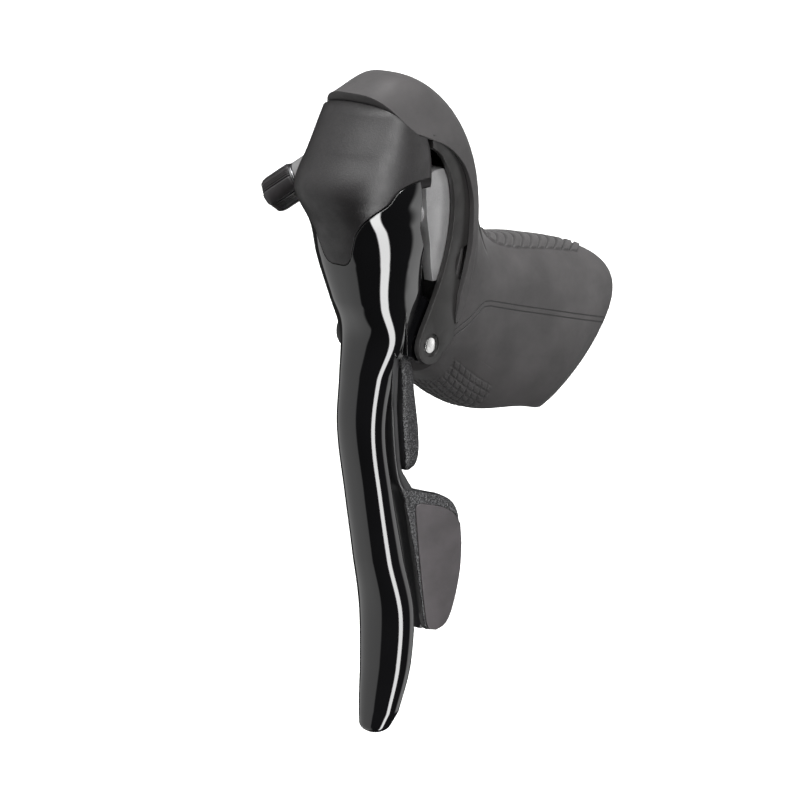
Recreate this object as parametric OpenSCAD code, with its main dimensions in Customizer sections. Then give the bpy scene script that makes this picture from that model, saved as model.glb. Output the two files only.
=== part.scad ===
// Brake and shift lever for a drop handlebar, left hand.
// Millimetres. +X is forwards, +Y is outboard, +Z is up, and the origin is on the
// handlebar's axis at the middle of the clamp band.

/* [Handlebar clamp] */
// Diameter of the handlebar that the clamp holds
bar_d = 24; // [23.8:0.1:24.2]
// Slope of the handlebar below level, in degrees
bar_slope = 41; // [39:1:43]
// Width of the clamp band along the handlebar
band_w = 12; // [10:1:13]
// Thickness of the clamp band
band_t = 1; // [0.8:0.1:1.1]
// Length of the saddle that rests on the handlebar
saddle_len = 34; // [30:1:34]

/* [Brake lever] */
// Diameter of the lever's pivot pin
pivot_d = 4; // [3.8:0.1:4]
// Wall thickness of the lever's hollow head
head_wall = 2; // [1.6:0.1:2.2]
// Thickness of the name plate shell
plate_wall = 1.6; // [1.4:0.1:1.8]

/* [Shift unit] */
// Diameter of the axle that the paddles and spool turn on
axle_d = 6; // [5:0.5:6]
// Radius of the cable groove in the spool
groove_r = 9.2; // [8.8:0.1:9.4]
// Teeth on the ratchet wheel's full circle
ratchet_teeth = 24; // [20:1:26]

/* [Barrel adjuster] */
// Diameter of the adjuster's knob over its ribs
knob_d = 10; // [9:0.5:10.5]
// Length of the adjuster's knob
knob_len = 9.5; // [9:0.5:10]
// Number of ribs round the knob
knob_ribs = 12; // [8:1:14]
// Diameter of the gear cable's outer casing
gear_casing_d = 4.2; // [4:0.1:4.4]

/* [Brake cable port] */
// Diameter of the brake cable's outer casing
brake_casing_d = 5.2; // [5:0.1:5.3]

/* [Hidden] */
$fn = 48;

fit_gap = 0.05;             // radial clearance of turning fits
part_gap = 0.15;            // gap between neighbouring parts of one body
bar_r = bar_d / 2;
band_r = bar_r + band_t;
pivot = [60.5, 0, 12];      // centre of the brake lever's pivot
pivot_r = pivot_d / 2;
bush_r = 3;
arm_in = 12.7;              // inner and outer faces of the bracket's arms
arm_out = 14.2;
ear_in = 9;                 // inner and outer faces of the lever's ears
ear_out = 11.2;
axle_z = 56;                // height of the shift axle
axle_r = axle_d / 2;
release_x = [63.7, 65.5];   // stations of the shift unit's parts along its axle
pull_x = [65.9, 68.1];
ratchet_x = [68.4, 69.9];
spool_x = [70.1, 74.1];
front_plate_x = [74.8, 76.3];
housing_x = [51, 62.5];
housing_half = 12.3;        // half width of the housing
ratchet_r = 8.6;
tooth_h = 1;
pawl_reach = ratchet_r + tooth_h + 0.25;
post_at = [[-8.4, 46.9], [8.4, 46.9]];
hold_pin_at = [-8.4, 65.2];
drive_pin_at = [8.8, 63.6];
plate_screw_at = [0, 42.4];
knob_at = [74, -24, 50];
knob_r = knob_d / 2;
adjuster_tilt = [0, 125, -67];
hook_at = [55.8, 0, 32.5];
guide_y = -6.5;             // the brake cable runs inboard of the clamp bolt
bolt_y = 5;
guide_tilt = [0, -101, 0];
guide_at = [24, guide_y, 29.4];

// ---------- curves and lofts ----------

// Signed power, which squares off a round section when p is under 1.
function signed_pow(v, p) = sign(v) * pow(abs(v), p);

// Point on a cubic curve from a to d.
function bezier(a, b, c, d, t) =
    a * pow(1 - t, 3) + b * 3 * t * pow(1 - t, 2) + c * 3 * t * t * (1 - t) + d * pow(t, 3);

// Row i of a table, carried on in a straight line past both ends.
function row(table, i) =
    i < 0 ? 2 * table[0] - table[1] :
    i >= len(table) ? 2 * table[len(table) - 1] - table[len(table) - 2] : table[i];

// Smooth value between the rows of a table, at u from 0 to len - 1.
function along(table, u) =
    let (i = min(floor(u), len(table) - 2), t = u - i,
         a = row(table, i - 1), b = row(table, i), c = row(table, i + 1), d = row(table, i + 2))
    0.5 * (2 * b + (c - a) * t + (2 * a - 5 * b + 4 * c - d) * t * t
           + (3 * b - a - 3 * c + d) * t * t * t);

// Smooth value of a table whose first column falls, at the height z.
function at_height(table, z, i = 0) =
    (i >= len(table) - 2 || z >= table[i + 1][0])
        ? along(table, i + (table[i][0] - z) / (table[i][0] - table[i + 1][0]))
        : at_height(table, z, i + 1);

// Mean of a ring's points.
function middle(ring) = [for (v = [0 : 2]) [for (p = ring) p[v]] * [for (p = ring) 1] / len(ring)];

// Closed solid through a list of rings, each with the same number of points.
module loft(rings) {
    n = len(rings[0]);
    m = len(rings);
    points = concat([for (r = rings) for (p = r) p], [middle(rings[0]), middle(rings[m - 1])]);
    sides = [for (i = [0 : m - 2]) for (j = [0 : n - 1]) let (k = (j + 1) % n)
        each [[i * n + j, (i + 1) * n + k, i * n + k], [i * n + j, (i + 1) * n + j, (i + 1) * n + k]]];
    first = [for (j = [0 : n - 1]) [m * n, j, (j + 1) % n]];
    last = [for (j = [0 : n - 1]) [m * n + 1, (m - 1) * n + (j + 1) % n, (m - 1) * n + j]];
    polyhedron(points, concat(sides, first, last), convexity = 8);
}

// Round wire through a list of points that turn about the x axis.
module coil(turns, mean_r, wire_d, x0, x1, start = 0, sides = 8, steps = 14) {
    count = ceil(turns * steps);
    rings = [for (i = [0 : count])
        let (a = start + 360 * turns * i / count, x = x0 + (x1 - x0) * i / count)
        [for (j = [0 : sides - 1]) let (b = 360 * j / sides, r = mean_r + wire_d / 2 * cos(b))
            [x - wire_d / 2 * sin(b), r * cos(a), r * sin(a)]]];
    loft(rings);
}

// ---------- frames ----------

// Handlebar frame: z runs up and back along the bar, x points forwards and up.
module at_bar() { rotate([0, bar_slope - 90, 0]) children(); }

// Adjuster frame: z runs outwards along the adjuster.
module at_adjuster() { translate(knob_at) rotate(adjuster_tilt) children(); }

// Cylinder along x from x0 to x1, centred at [y, z].
module rod_x(r, x0, x1, at = [0, axle_z]) {
    translate([x0, at[0], at[1]]) rotate([0, 90, 0]) cylinder(r = r, h = x1 - x0);
}

// Cylinder along y from y0 to y1, centred at [x, z].
module rod_y(r, y0, y1, at = [pivot[0], pivot[2]]) {
    translate([at[0], y1, at[1]]) rotate([90, 0, 0]) cylinder(r = r, h = y1 - y0);
}

// Side outline in [x, z], made solid from y0 to y1 and grown all round by g.
module side_slab(points, y0, y1, g = 0) {
    translate([0, y1 + g, 0]) rotate([90, 0, 0]) linear_extrude(y1 - y0 + 2 * g)
        if (g > 0) offset(delta = g) polygon(points); else polygon(points);
}

// Front outline in [y, z], made solid from x0 to x1.
module front_slab(points, x0, x1) {
    translate([x0, 0, 0]) rotate([90, 0, 90]) linear_extrude(x1 - x0) polygon(points);
}

// Points of an arc about c, from angle a0 to a1.
function arc(c, r, a0, a1, n = 8) =
    [for (i = [0 : n]) let (a = a0 + (a1 - a0) * i / n) c + r * [cos(a), sin(a)]];

// Smooth run of points through a list of points, n to each span.
function smooth(points, n) =
    [for (i = [0 : n * (len(points) - 1)]) along(points, i / n)];

// ---------- hood and bracket ----------

// Each row is one slice of the hood, from the handlebar to the front edge:
// bottom, two curve controls and top as x, z pairs; half width at the bottom,
// middle and top; squareness.
HOOD = [
    [15.4, -19.2, 0.2, -2, -25.7, 12.7, -5.6, 26.5, 14.8, 16.6, 15.5, 0.59],
    [23.5, -17, 5, -5.4, 0, 15.9, 7.2, 29.8, 13.8, 17.9, 14.1, 0.6],
    [40.4, -8.6, 32.4, 6.2, 28.6, 19.9, 30.4, 36, 12.5, 15.2, 12.9, 0.66],
    [50.1, -1, 44.1, 14, 39.3, 30.3, 39.4, 51.7, 13.6, 15.3, 11.6, 0.67],
    [54.2, 1.5, 47.7, 19, 38.2, 45.3, 45.4, 70.9, 14, 15.6, 12.8, 0.71],
    [56.2, 2.9, 47.2, 23.2, 33.2, 58.4, 60.8, 81.5, 14.5, 16, 13.6, 0.64],
    [57.5, 3.5, 52, 23, 45, 45, 75.3, 77.9, 14.5, 16, 16, 0.55]
];
hood_sides = 36;
hood_slices = 26;

// Ring of the hood at u from 0 at the handlebar to 6 at the front edge.
function hood_ring(u) =
    let (k = along(HOOD, u))
    [for (j = [0 : hood_sides - 1])
        let (a = 360 * j / hood_sides,
             t = (1 - signed_pow(cos(a), k[11])) / 2,
             p = bezier([k[0], k[1]], [k[2], k[3]], [k[4], k[5]], [k[6], k[7]], t),
             w = k[8] * (1 - t) * (1 - 2 * t) + k[9] * 4 * t * (1 - t) + k[10] * t * (2 * t - 1))
        [p[0], w * signed_pow(sin(a), k[11]), p[1]]];

module hood_body() {
    last = len(HOOD) - 1;
    loft([for (i = [0 : hood_slices]) hood_ring(last * i / hood_slices)]);
}

// Side outline of the bracket's core, drawn in from the hood by about m.
function core_outline(m) = [
    [27, -15.5 + m], [40, -7 + m], [49.5, -0.5 + m], [47, 12], [44.5, 26], [43.4, 42],
    [45, 55], [51, 64.6 - m / 4], [58, 69.6 - m / 3], [64, 70.5 - m / 3], [64, 79.6 - m],
    [60, 80.2 - m], [54, 78.6 - m], [48.5 + m / 3, 74 - m / 2], [43.6 + m / 4, 65],
    [40.6 + m / 4, 53], [37.4 + m / 3, 43], [31.5 + m / 3, 35.6 - m], [18.5, 32 - m], [9, 29.6 - m],
    [-1, 27 - m]
];
saddle_back = [[-14, 14], [-6, 2], [8, -8], [16, -12]];

// Side outline of the arms that carry the lever's pivot.
arm_outline = concat(
    arc([pivot[0], pivot[2]], 5, 215, 385, 16),
    smooth([[63.9, 16.4], [60.6, 21.6], [57.4, 27.1], [54.4, 33.4], [52.2, 40.8], [51.5, 48], [52.6, 54.5],
            [56.2, 60.6], [60, 63.4]], 5),
    [[60, 67], [50, 62], [45.5, 54], [44.6, 44], [46.4, 30], [49.5, 18], [52.5, 11.5]]);

module bracket_shape(grow = 0) {
    // three slabs step in towards the hood's rounded top and bottom
    side_slab(concat(core_outline(2.6), saddle_back), -7.5, 7.5, grow);
    side_slab(concat(core_outline(6.5), saddle_back), -10.8, 10.8, grow);
    side_slab(concat(core_outline(11), saddle_back), -arm_in - 0.4, arm_in + 0.4, grow);
}

module arm_pair(grow = 0) {
    for (s = [-1, 1])
        side_slab(arm_outline, s > 0 ? arm_in : -arm_out, s > 0 ? arm_out : -arm_in, grow);
}

// Side line of the hood's front rim, from the bottom up.
rim_line = concat([[51.3, 12], [51.3, 18.8], [50.5, 23.7]],
    smooth([[48.3, 30], [46.6, 36], [45.9, 44], [46.3, 50], [48.8, 57], [54.3, 62.6], [62.9, 66.7]], 4),
    smooth([[66.5, 68], [69.4, 70.6], [71.8, 73.6], [74.8, 76.9], [78, 80]], 3));

// All that lies in front of the rim line, moved forwards by g.
module front_of_rim(g = 0) {
    side_slab(concat([[55.6, 1]], [for (p = rim_line) p + [g, -g / 2]], [[95, 80 - g], [95, 1]]), -30, 30);
}

// Hollow in the horn for the back of the shift unit.
module shift_pocket(half) {
    side_slab([[46, 50], [48.3, 54], [48.3, 61.8], [53, 65], [57, 66.8], [62, 68], [66, 68], [66, 50]],
              -half, half);
}

// Scallop in the back edge of each arm.
module arm_scallops() {
    for (s = [-1, 1]) rod_y(5, s > 0 ? arm_in : -20, s > 0 ? 20 : -arm_in, [46.2, 31]);
}

module clamp_cuts(play) {
    at_bar() {
        // slots for the band's straight ends, and the pocket of the nut
        translate([-1, -band_r - play, -band_w / 2 - play])
            cube([22.5 + play, 2 * (band_r + play), band_w + 2 * play]);
    }
}

// The bolt's bore and the recess for its head.
module bolt_cuts() {
    at_bar() translate([16, bolt_y, 0]) rotate([0, 90, 0]) {
        cylinder(r = 2.75, h = 40);
        translate([0, 0, 15]) cylinder(r = 4.7, h = 40);
    }
}

module guide_cut(r, extra) {
    translate(guide_at) rotate(guide_tilt) translate([0, 0, -12 - extra]) cylinder(r = r, h = 60);
}

module bracket_body() color("#2b2b2d") difference() {
    union() {
        difference() {
            bracket_shape();
            at_bar() translate([-30, -20, -60]) cube([30 + 4.5, 40, 120]);
            clamp_cuts(0.4);
            shift_pocket(14);
        }
        arm_pair();
    }
    at_bar() cylinder(r = bar_r, h = 120, center = true, $fn = 96);
    at_bar() for (s = [-1, 1])
        translate([-20, -20, s > 0 ? saddle_len / 2 : -saddle_len / 2 - 40]) cube([36, 40, 40]);
    bolt_cuts();
    arm_scallops();
    guide_cut(3.3, 0);
    // way through for the inner brake cable
    rod_x(1.6, 40, 50, [guide_y, 36]);
    // pivot bore, with a shallow recess round each end of the pin
    rod_y(pivot_r + fit_gap, -20, 20);
    for (s = [-1, 1]) rod_y(pivot_r + 1, s > 0 ? arm_out - 0.7 : -20, s > 0 ? 20 : -arm_out + 0.7);
}

module hood_cover() color("#3a393b") difference() {
    hood_body();
    bracket_shape(part_gap);
    arm_pair(part_gap);
    // open front, round the arms and over the lever's head
    front_of_rim();
    shift_pocket(12.6);
    // straight back edge beside the handlebar
    at_bar() translate([-63, -30, -60]) cube([60, 60, 120]);
    at_bar() cylinder(r = bar_r + 0.3, h = 120, center = true, $fn = 64);
    at_bar() cylinder(r = band_r + 0.3, h = band_w + 1, center = true, $fn = 64);
    clamp_cuts(0.5);
    guide_cut(3.3, 0);
    bolt_cuts_inner();
}

// Room for the bolt's head under the rubber.
module bolt_cuts_inner() {
    at_bar() translate([16, bolt_y, 0]) rotate([0, 90, 0]) cylinder(r = 4.7, h = 21);
}

module clamp_band() color("silver") at_bar() {
    difference() {
        union() {
            cylinder(r = band_r, h = band_w, center = true, $fn = 96);
            translate([0, -band_r, -band_w / 2]) cube([19, 2 * band_r, band_w]);
        }
        cylinder(r = bar_r, h = 60, center = true, $fn = 96);
        translate([0, -bar_r, -30]) cube([60, 2 * bar_r, 60]);
        // windows that hook over the nut's lugs
        translate([14, -30, -3.2]) cube([3.2, 60, 6.4]);
    }
}

module clamp_nut() color("dimgray") at_bar() difference() {
    union() {
        translate([13.6, -bar_r + 0.15, -4.5]) cube([5, 2 * bar_r - 0.3, 9]);
        translate([14.1, -band_r + 0.05, -3]) cube([3, 2 * band_r - 0.1, 6]);
    }
    translate([0, bolt_y, 0]) rotate([0, 90, 0]) cylinder(r = 2.5, h = 60);
}

module clamp_bolt() color("#202022") at_bar() translate([0, bolt_y, 0]) rotate([0, 90, 0]) difference() {
    union() {
        translate([0, 0, 13.2]) cylinder(r = 2.47, h = 18);
        translate([0, 0, 31.1]) cylinder(r = 4.25, h = 4);
    }
    translate([0, 0, 32.4]) cylinder(r = 2.31, h = 5, $fn = 6);
}

module pivot_pin() color("silver") difference() {
    rod_y(pivot_r, -13.8, 13.8);
    // groove for the retaining clip
    difference() {
        rod_y(5, -10.2 - 2.05, -11.35);
        rod_y(pivot_r - 0.5, -13, -11);
    }
}

module pivot_clip() color("gray") difference() {
    rod_y(3.2, -11.5, -11.3);
    rod_y(pivot_r + 0.1, -20, 0);
    translate([pivot[0] - 1.4, -15, pivot[2] - 8]) cube([2.8, 8, 8]);
}

module brake_cable_guide() color("#1a1a1a") translate(guide_at) rotate(guide_tilt) difference() {
    union() {
        translate([0, 0, -10]) cylinder(r = 3.25, h = 30);
    }
    translate([0, 0, -6]) cylinder(r = brake_casing_d / 2, h = 40);
    translate([0, 0, -20]) cylinder(r = 1, h = 40);
}

// ---------- brake lever ----------

// Each row is a level slice of the lever, from its top to its tip:
// height, middle x, depth forwards, depth backwards, half width, middle y.
LEVER = [
    [80, 66.2, 4.5, 3, 10.5, 0],
    [73, 66.7, 9.3, 3, 14, 0],
    [64, 65.7, 16.7, 4.5, 16.2, 0.3],
    [54, 67.2, 20.6, 5.5, 17.6, 0.3],
    [44, 65.1, 17.9, 5, 15.5, 0.2],
    [35, 66, 14.5, 4.5, 14.2, 0],
    [24, 64.9, 12.4, 7, 11.7, 0],
    [14, 64.5, 8.9, 5, 10.4, 0],
    [4, 68.9, 6.4, 2.6, 7.8, 0],
    [-10, 71.1, 5.6, 2, 7.1, 0],
    [-28, 69, 5.6, 2.2, 7.1, 0.6],
    [-46, 66.3, 6.1, 2.6, 7.4, 1.5],
    [-60, 64.5, 6.1, 2.6, 8.2, 2.7],
    [-75, 65.7, 5.9, 2.4, 7.5, 3.4],
    [-87, 68.7, 4.9, 1.8, 5.9, 3.7],
    [-93, 71.1, 3.3, 1.2, 3.8, 3.5]
];
lever_sides = 32;
front_square = 0.85;
back_square = 0.6;

// Ring of the lever at height z, drawn in by m and reaching back extra_back.
function lever_ring(z, m = 0, extra_back = 0) =
    let (k = at_height(LEVER, z))
    [for (j = [0 : lever_sides - 1])
        let (a = -360 * j / lever_sides,
             front = cos(a) >= 0,
             depth = (front ? k[2] : k[3] + extra_back) - m,
             p = front ? front_square : back_square)
        [k[1] + depth * signed_pow(cos(a), p), k[5] + (k[4] - m) * signed_pow(sin(a), p), z]];

module lever_loft(z_top, z_low, step, m = 0, extra_back = 0) {
    count = ceil((z_top - z_low) / step);
    loft([for (i = [0 : count]) lever_ring(z_top + (z_low - z_top) * i / count, m, extra_back)]);
}

// Edge of the name plate in [y, z], from its tip up one side.
plate_edge = smooth([[0, 34.9], [2.6, 35.1], [4.3, 36.8], [5.5, 40], [7, 43.6], [9.6, 46.8], [12.5, 49.4],
                     [15.4, 52.2], [17, 56], [20, 60.5]], 4);

// Front outline of the name plate, grown by g.
function plate_outline(g) = concat(
    [for (p = plate_edge) p + g * [p[0] > 4 ? 0.7 : p[0] > 2.7 ? 0.5 : 0, -1]],
    [[20, 80], [-20, 80]],
    [for (i = [len(plate_edge) - 1 : -1 : 1]) let (p = plate_edge[i])
        [-p[0], p[1]] + g * [p[0] > 4 ? -0.7 : p[0] > 2.7 ? -0.5 : 0, -1]]);

module ears() {
    for (s = [-1, 1])
        side_slab(concat(arc([pivot[0], pivot[2]], 4.8, 200, 320, 8),
                         [[66.5, 10], [67, 24], [62, 26], [57.5, 22]]),
                  s > 0 ? ear_in : -ear_out, s > 0 ? ear_out : -ear_in);
}

module adjuster_cut(r) { at_adjuster() translate([0, 0, -30]) cylinder(r = r, h = 26); }

module brake_lever() color("#0a0a0b") difference() {
    union() {
        difference() {
            lever_loft(57, -93, 5);
            // hollow head, open at the back, and the channel down the blade
            lever_loft(60, 5, 5, head_wall, 25);
            // room for the pivot's bushes and for the paddles' stems
            translate([50, -ear_in, -4]) cube([18.9, 2 * ear_in, 27]);
            // flank of the head, which slants forwards under the name plate
            side_slab([[50, 62], [70, 62], [68, 50], [66.7, 44], [63, 35.7], [58, 27], [50, 27]], -30, 30);
        }
        ears();
    }
    front_slab(plate_outline(0.25), 60, 100);
    rod_y(bush_r, -20, 20);
    adjuster_cut(4.45);
    // ribs are left between the pockets in the back of the blade
    for (z = [-78 : 13 : -13]) blade_pocket(z, 10.5);
}

module blade_pocket(z, h) {
    k = at_height(LEVER, z + h / 2);
    translate([k[1] - 8, k[5] - k[4] + 2.4, z]) cube([9, 2 * k[4] - 4.8, h]);
}

module name_plate() color("#39383a") difference() {
    union() {
        intersection() {
            difference() {
                lever_loft(79, 33, 4);
                lever_loft(79.5, 32, 4, plate_wall, 20);
            }
            front_slab(plate_outline(0), 61.5, 100);
            front_of_rim(0.4);
        }
        // boss for the screw that holds the plate
        intersection() {
            rod_x(2.6, front_plate_x[1] + 0.1, 90, plate_screw_at);
            lever_loft(72, 40, 4, 0.4);
        }
    }
    rod_x(1.25, 70, 82, plate_screw_at);
    adjuster_cut(4.45);
}

module name_plate_screw() color("silver") difference() {
    union() {
        rod_x(1.2, 74.6, 81.8, plate_screw_at);
        rod_x(2.3, 73.4, 74.7, plate_screw_at);
    }
    rod_x(1, 73, 74, plate_screw_at, $fn = 6);
}

// ---------- shift unit ----------

housing_outline = concat(
    [[51, 56.6]], smooth([[54.5, 57], [57.6, 56.8], [59.8, 55.2], [60.4, 52.4], [60, 45], [58.9, 38]], 5),
    [[58.6, 32.2], [57.8, 28.2], [54, 28.2], [51.8, 31], [51, 40]]);

module shift_housing() color("#4a4a4d") difference() {
    union() {
        side_slab(housing_outline, -housing_half, housing_half);
        front_slab([[-7, 52], [7, 52], [5, 61.4], [-5, 61.4]], housing_x[0], housing_x[0] + 2);
        // drum round the springs, and feet for the posts
        rod_x(7.4, housing_x[0] + 1.9, 63.2);
        for (s = [-1, 1]) rod_x(3, housing_x[0] + 4, housing_x[1], [s * 8.2, 46]);
    }
    rod_x(5.6, housing_x[0] + 2, 70);
    // room for the springs and the paddles' stems
    difference() {
        translate([53, -9.4, 20]) cube([20, 18.8, 60]);
        rod_x(7.4, 50, 70);
        for (s = [-1, 1]) rod_x(3, 50, 70, [s * 8.2, 46]);
    }
    rod_x(axle_r + fit_gap, 40, 60);
    for (p = post_at) rod_x(1.05, 54, 70, p);
    rod_y(2.25, -11.1, 11.1, [hook_at[0], hook_at[2]]);
}

module housing_posts() color("silver") for (p = post_at) difference() {
    rod_x(1.9, housing_x[1] + 0.05, front_plate_x[0] - 0.05, p);
    rod_x(1.05, 60, 80, p);
}

module post_screws() color("gray") for (p = post_at) difference() {
    union() {
        rod_x(1, 56, front_plate_x[1], p);
        rod_x(1.7, front_plate_x[1] + 0.02, front_plate_x[1] + 1.3, p);
        rod_x(1, front_plate_x[1] - 0.1, front_plate_x[1] + 0.5, p);
    }
    rod_x(0.9, front_plate_x[1] + 0.6, 80, p, $fn = 6);
}

module front_plate() color("gray") difference() {
    union() {
        rod_x(10.4, front_plate_x[0], front_plate_x[1]);
        front_slab([[-4, 39.4], [4, 39.4], [10, 44.8], [11, 52], [8, 60], [4, 65.4], [-5, 66.6], [-9.5, 66.4],
                    [-11, 55], [-10, 44.8]], front_plate_x[0], front_plate_x[1]);
    }
    rod_x(axle_r + fit_gap, 70, 80);
    for (p = post_at) rod_x(1.05, 70, 80, p);
    rod_x(1.22, 70, 80, plate_screw_at);
    rod_x(1.02, 70, 80, hold_pin_at);
}

module pivot_bushes() color("#b08d57") for (s = [-1, 1]) difference() {
    union() {
        rod_y(bush_r - 0.01, s > 0 ? ear_in : -ear_out, s > 0 ? ear_out : -ear_in);
        rod_y(bush_r + 1, s > 0 ? ear_in - 0.5 : -ear_in + 0.02, s > 0 ? ear_in - 0.02 : -ear_in + 0.5);
        rod_y(bush_r - 0.01, s > 0 ? ear_in - 0.3 : -ear_in - 0.1, s > 0 ? ear_in + 0.1 : -ear_in + 0.3);
    }
    rod_y(pivot_r + fit_gap, -20, 20);
}

module shift_axle() color("silver") {
    difference() {
        union() {
            rod_x(axle_r, 48.8, front_plate_x[1] + 0.1);
            rod_x(4.8, front_plate_x[1] + 0.05, front_plate_x[1] + 3);
        }
        rod_x(2, front_plate_x[1] + 1.2, 85, $fn = 6);
    }
}

module axle_nut() color("gray") difference() {
    rod_x(5, 49.3, 50.9, $fn = 6);
    rod_x(axle_r + 0.02, 40, 60);
}

module torsion_spring(x0, x1, mean_r, wire, leg_angle) {
    translate([0, 0, axle_z]) coil(4, mean_r, wire, x0, x1, leg_angle);
}

module release_spring() color("silver") torsion_spring(53.6, 57.2, 3.7, 0.7, 90);
module pull_spring() color("silver") torsion_spring(58.4, 62.6, 3.8, 0.8, 180);

module lever_return_spring() color("silver")
    translate([pivot[0], 0, pivot[2]]) rotate([0, 0, 90]) coil(3, 2.6, 0.7, -8.1, -5.4, 90);

module hold_pawl_pin() color("silver") rod_x(1, ratchet_x[0] + 0.05, front_plate_x[1], hold_pin_at);

module adjuster_boss() color("#3c3c3e") difference() {
    at_adjuster() union() {
        translate([0, 0, -13.2]) cylinder(r = 4.4, h = 7.4);
    }
    at_adjuster() translate([0, 0, -30]) cylinder(r = 2.55, h = 40);
}

module reach_screw() color("dimgray") difference() {
    union() {
        rod_x(1.5, 51, 57.4, [0, 22]);
        rod_x(2.4, 57.2, 58.4, [0, 22]);
    }
    rod_x(0.9, 57.6, 60, [0, 22], $fn = 6);
}

module cable_hook() color("silver") difference() {
    union() {
        rod_y(2.2, -11, 11, [hook_at[0], hook_at[2]]);
        rod_y(2.7, -9.2, -3.8, [hook_at[0], hook_at[2]]);
    }
    rod_x(1.1, 40, 70, [guide_y, hook_at[2]]);
    rod_x(2.1, hook_at[0], 70, [guide_y, hook_at[2]]);
}

module cable_spool() color("#2f3033") difference() {
    union() {
        rod_x(groove_r + 1.2, spool_x[0], spool_x[0] + 1);
        rod_x(groove_r, spool_x[0], spool_x[1]);
        rod_x(groove_r + 1.2, spool_x[1] - 1, spool_x[1]);
    }
    rod_x(axle_r + fit_gap, 60, 80);
    // seat of the cable's end
    rod_x(1.9, spool_x[0] + 1, 90, [0, axle_z - 6]);
}

module ratchet_wheel() color("silver") difference() {
    union() {
        rod_x(ratchet_r, ratchet_x[0], ratchet_x[1]);
        for (i = [0 : ratchet_teeth - 1]) translate([ratchet_x[0], 0, axle_z])
            rotate([360 * i / ratchet_teeth, 0, 0]) rotate([90, 0, 90])
                linear_extrude(ratchet_x[1] - ratchet_x[0])
                    polygon([[ratchet_r - 0.6, -0.9], [ratchet_r + tooth_h, 0.5], [ratchet_r - 0.6, 0.75]]);
    }
    rod_x(axle_r + fit_gap, 60, 80);
}

// Pawl from a pin to a point on the ratchet's rim, at the angle a from +y.
module pawl(pin, a) {
    tip = [0, axle_z] + pawl_reach * [cos(a), sin(a)];
    heel = [0, axle_z] + (pawl_reach + 2) * [cos(a), sin(a)];
    side = (pin - heel) / norm(pin - heel);
    across = [-side[1], side[0]];
    difference() {
        union() {
            rod_x(2, ratchet_x[0] + 0.1, ratchet_x[1] - 0.1, pin);
            front_slab([tip, pin + across * 1.8, pin - across * 1.8, heel - across * 0.8],
                       ratchet_x[0] + 0.1, ratchet_x[1] - 0.1);
        }
        rod_x(1 + fit_gap, 60, 80, pin);
    }
}

module hold_pawl() color("gray") pawl(hold_pin_at, 100);
module drive_pawl() color("gray") pawl(drive_pin_at, 12);
module drive_pawl_pin() color("silver") rod_x(1, pull_x[1] - 0.8, ratchet_x[1], drive_pin_at);

// ---------- paddles ----------

module release_paddle() color("#1d1d1f") difference() {
    union() {
        rod_x(6, release_x[0], release_x[1]);
        front_slab([[-5, 56], [5, 56], [6.4, 40], [8.3, 14], [8.4, 6], [5.6, 6], [5.6, 14], [1.5, 40]],
                   release_x[0], release_x[1]);
        loft([for (k = RELEASE) release_ring(k)]);
    }
    rod_x(axle_r + fit_gap, 60, 80);
}

// Each row is a level slice of the release paddle's blade:
// height, x at the back and front, middle y, half thickness.
RELEASE = [
    [9, 62.3, 65.4, 7, 1.2],
    [4, 60.6, 65.2, 6.6, 2],
    [-1, 60, 64.9, 6.1, 2.5],
    [-7, 58.9, 64.8, 5.9, 2.7],
    [-13, 58.2, 64.3, 5.9, 2.8],
    [-18, 58.1, 63.8, 5.9, 2.7],
    [-21, 59, 63.2, 5.9, 2.3],
    [-22.4, 60.6, 62.4, 5.9, 1.4]
];

function release_ring(k) = [for (j = [0 : 19]) let (a = -360 * j / 20)
    [(k[1] + k[2]) / 2 + (k[2] - k[1]) / 2 * signed_pow(cos(a), 0.6),
     k[3] + k[4] * signed_pow(sin(a), 0.6), k[0]]];

// The pull paddle's pad stands on a plane that leans back and outboard.
pad_lean = 164;
pad_ridge = [60.6, 7];
module on_pad_plane() {
    translate([pad_ridge[0], pad_ridge[1], 0]) rotate([0, 0, pad_lean]) rotate([90, 0, 0]) children();
}

pad_outline = concat(
    smooth([[4.6, -67.4], [3.6, -65.3], [2.5, -57], [1.2, -48.5], [-0.8, -38], [-2.3, -31], [-2.6, -27.4]], 3),
    smooth([[-1, -27.2], [1.1, -28.1], [5.6, -29.7], [10, -31.3], [12.8, -33.5], [14.4, -36.8], [14.8, -40.5]], 3),
    smooth([[14.9, -45], [14.5, -52], [13.2, -58.8], [11.8, -64], [9.8, -66.6], [7, -67.6]], 3));

// Outline of the rubber pad, which sits in a pocket of the paddle.
rubber_outline = concat(
    smooth([[5.2, -67.4], [4.2, -64.8], [2.9, -55], [1.9, -45.4], [0.9, -34], [1.2, -32.2]], 3),
    smooth([[2.4, -31.9], [6, -33], [10, -34.4], [13, -36.6], [15, -39.6]], 3),
    smooth([[15.4, -45], [15, -52], [13.6, -59], [11.9, -64.2], [10, -66.9], [7.4, -67.9]], 3));

module pull_paddle() color("#141416") difference() {
    union() {
        rod_x(6, pull_x[0], pull_x[1]);
        front_slab([[-5, 56], [2, 60], [6, 66.2], [11.5, 66], [11.5, 61], [5, 56], [5.2, 40], [8, 14],
                    [7.2, -4], [4.4, -4], [5.4, 14], [1, 40]], pull_x[0], pull_x[1]);
        loft([for (k = PULL) pull_ring(k)]);
        on_pad_plane() translate([0, 0, -2]) linear_extrude(3.4) polygon(pad_outline);
    }
    // pocket for the rubber pad
    on_pad_plane() linear_extrude(10) offset(delta = 0.12) polygon(rubber_outline);
    rod_x(axle_r + fit_gap, 60, 80);
    rod_x(1.02, pull_x[1] - 0.9, 80, drive_pin_at);
}

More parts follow.
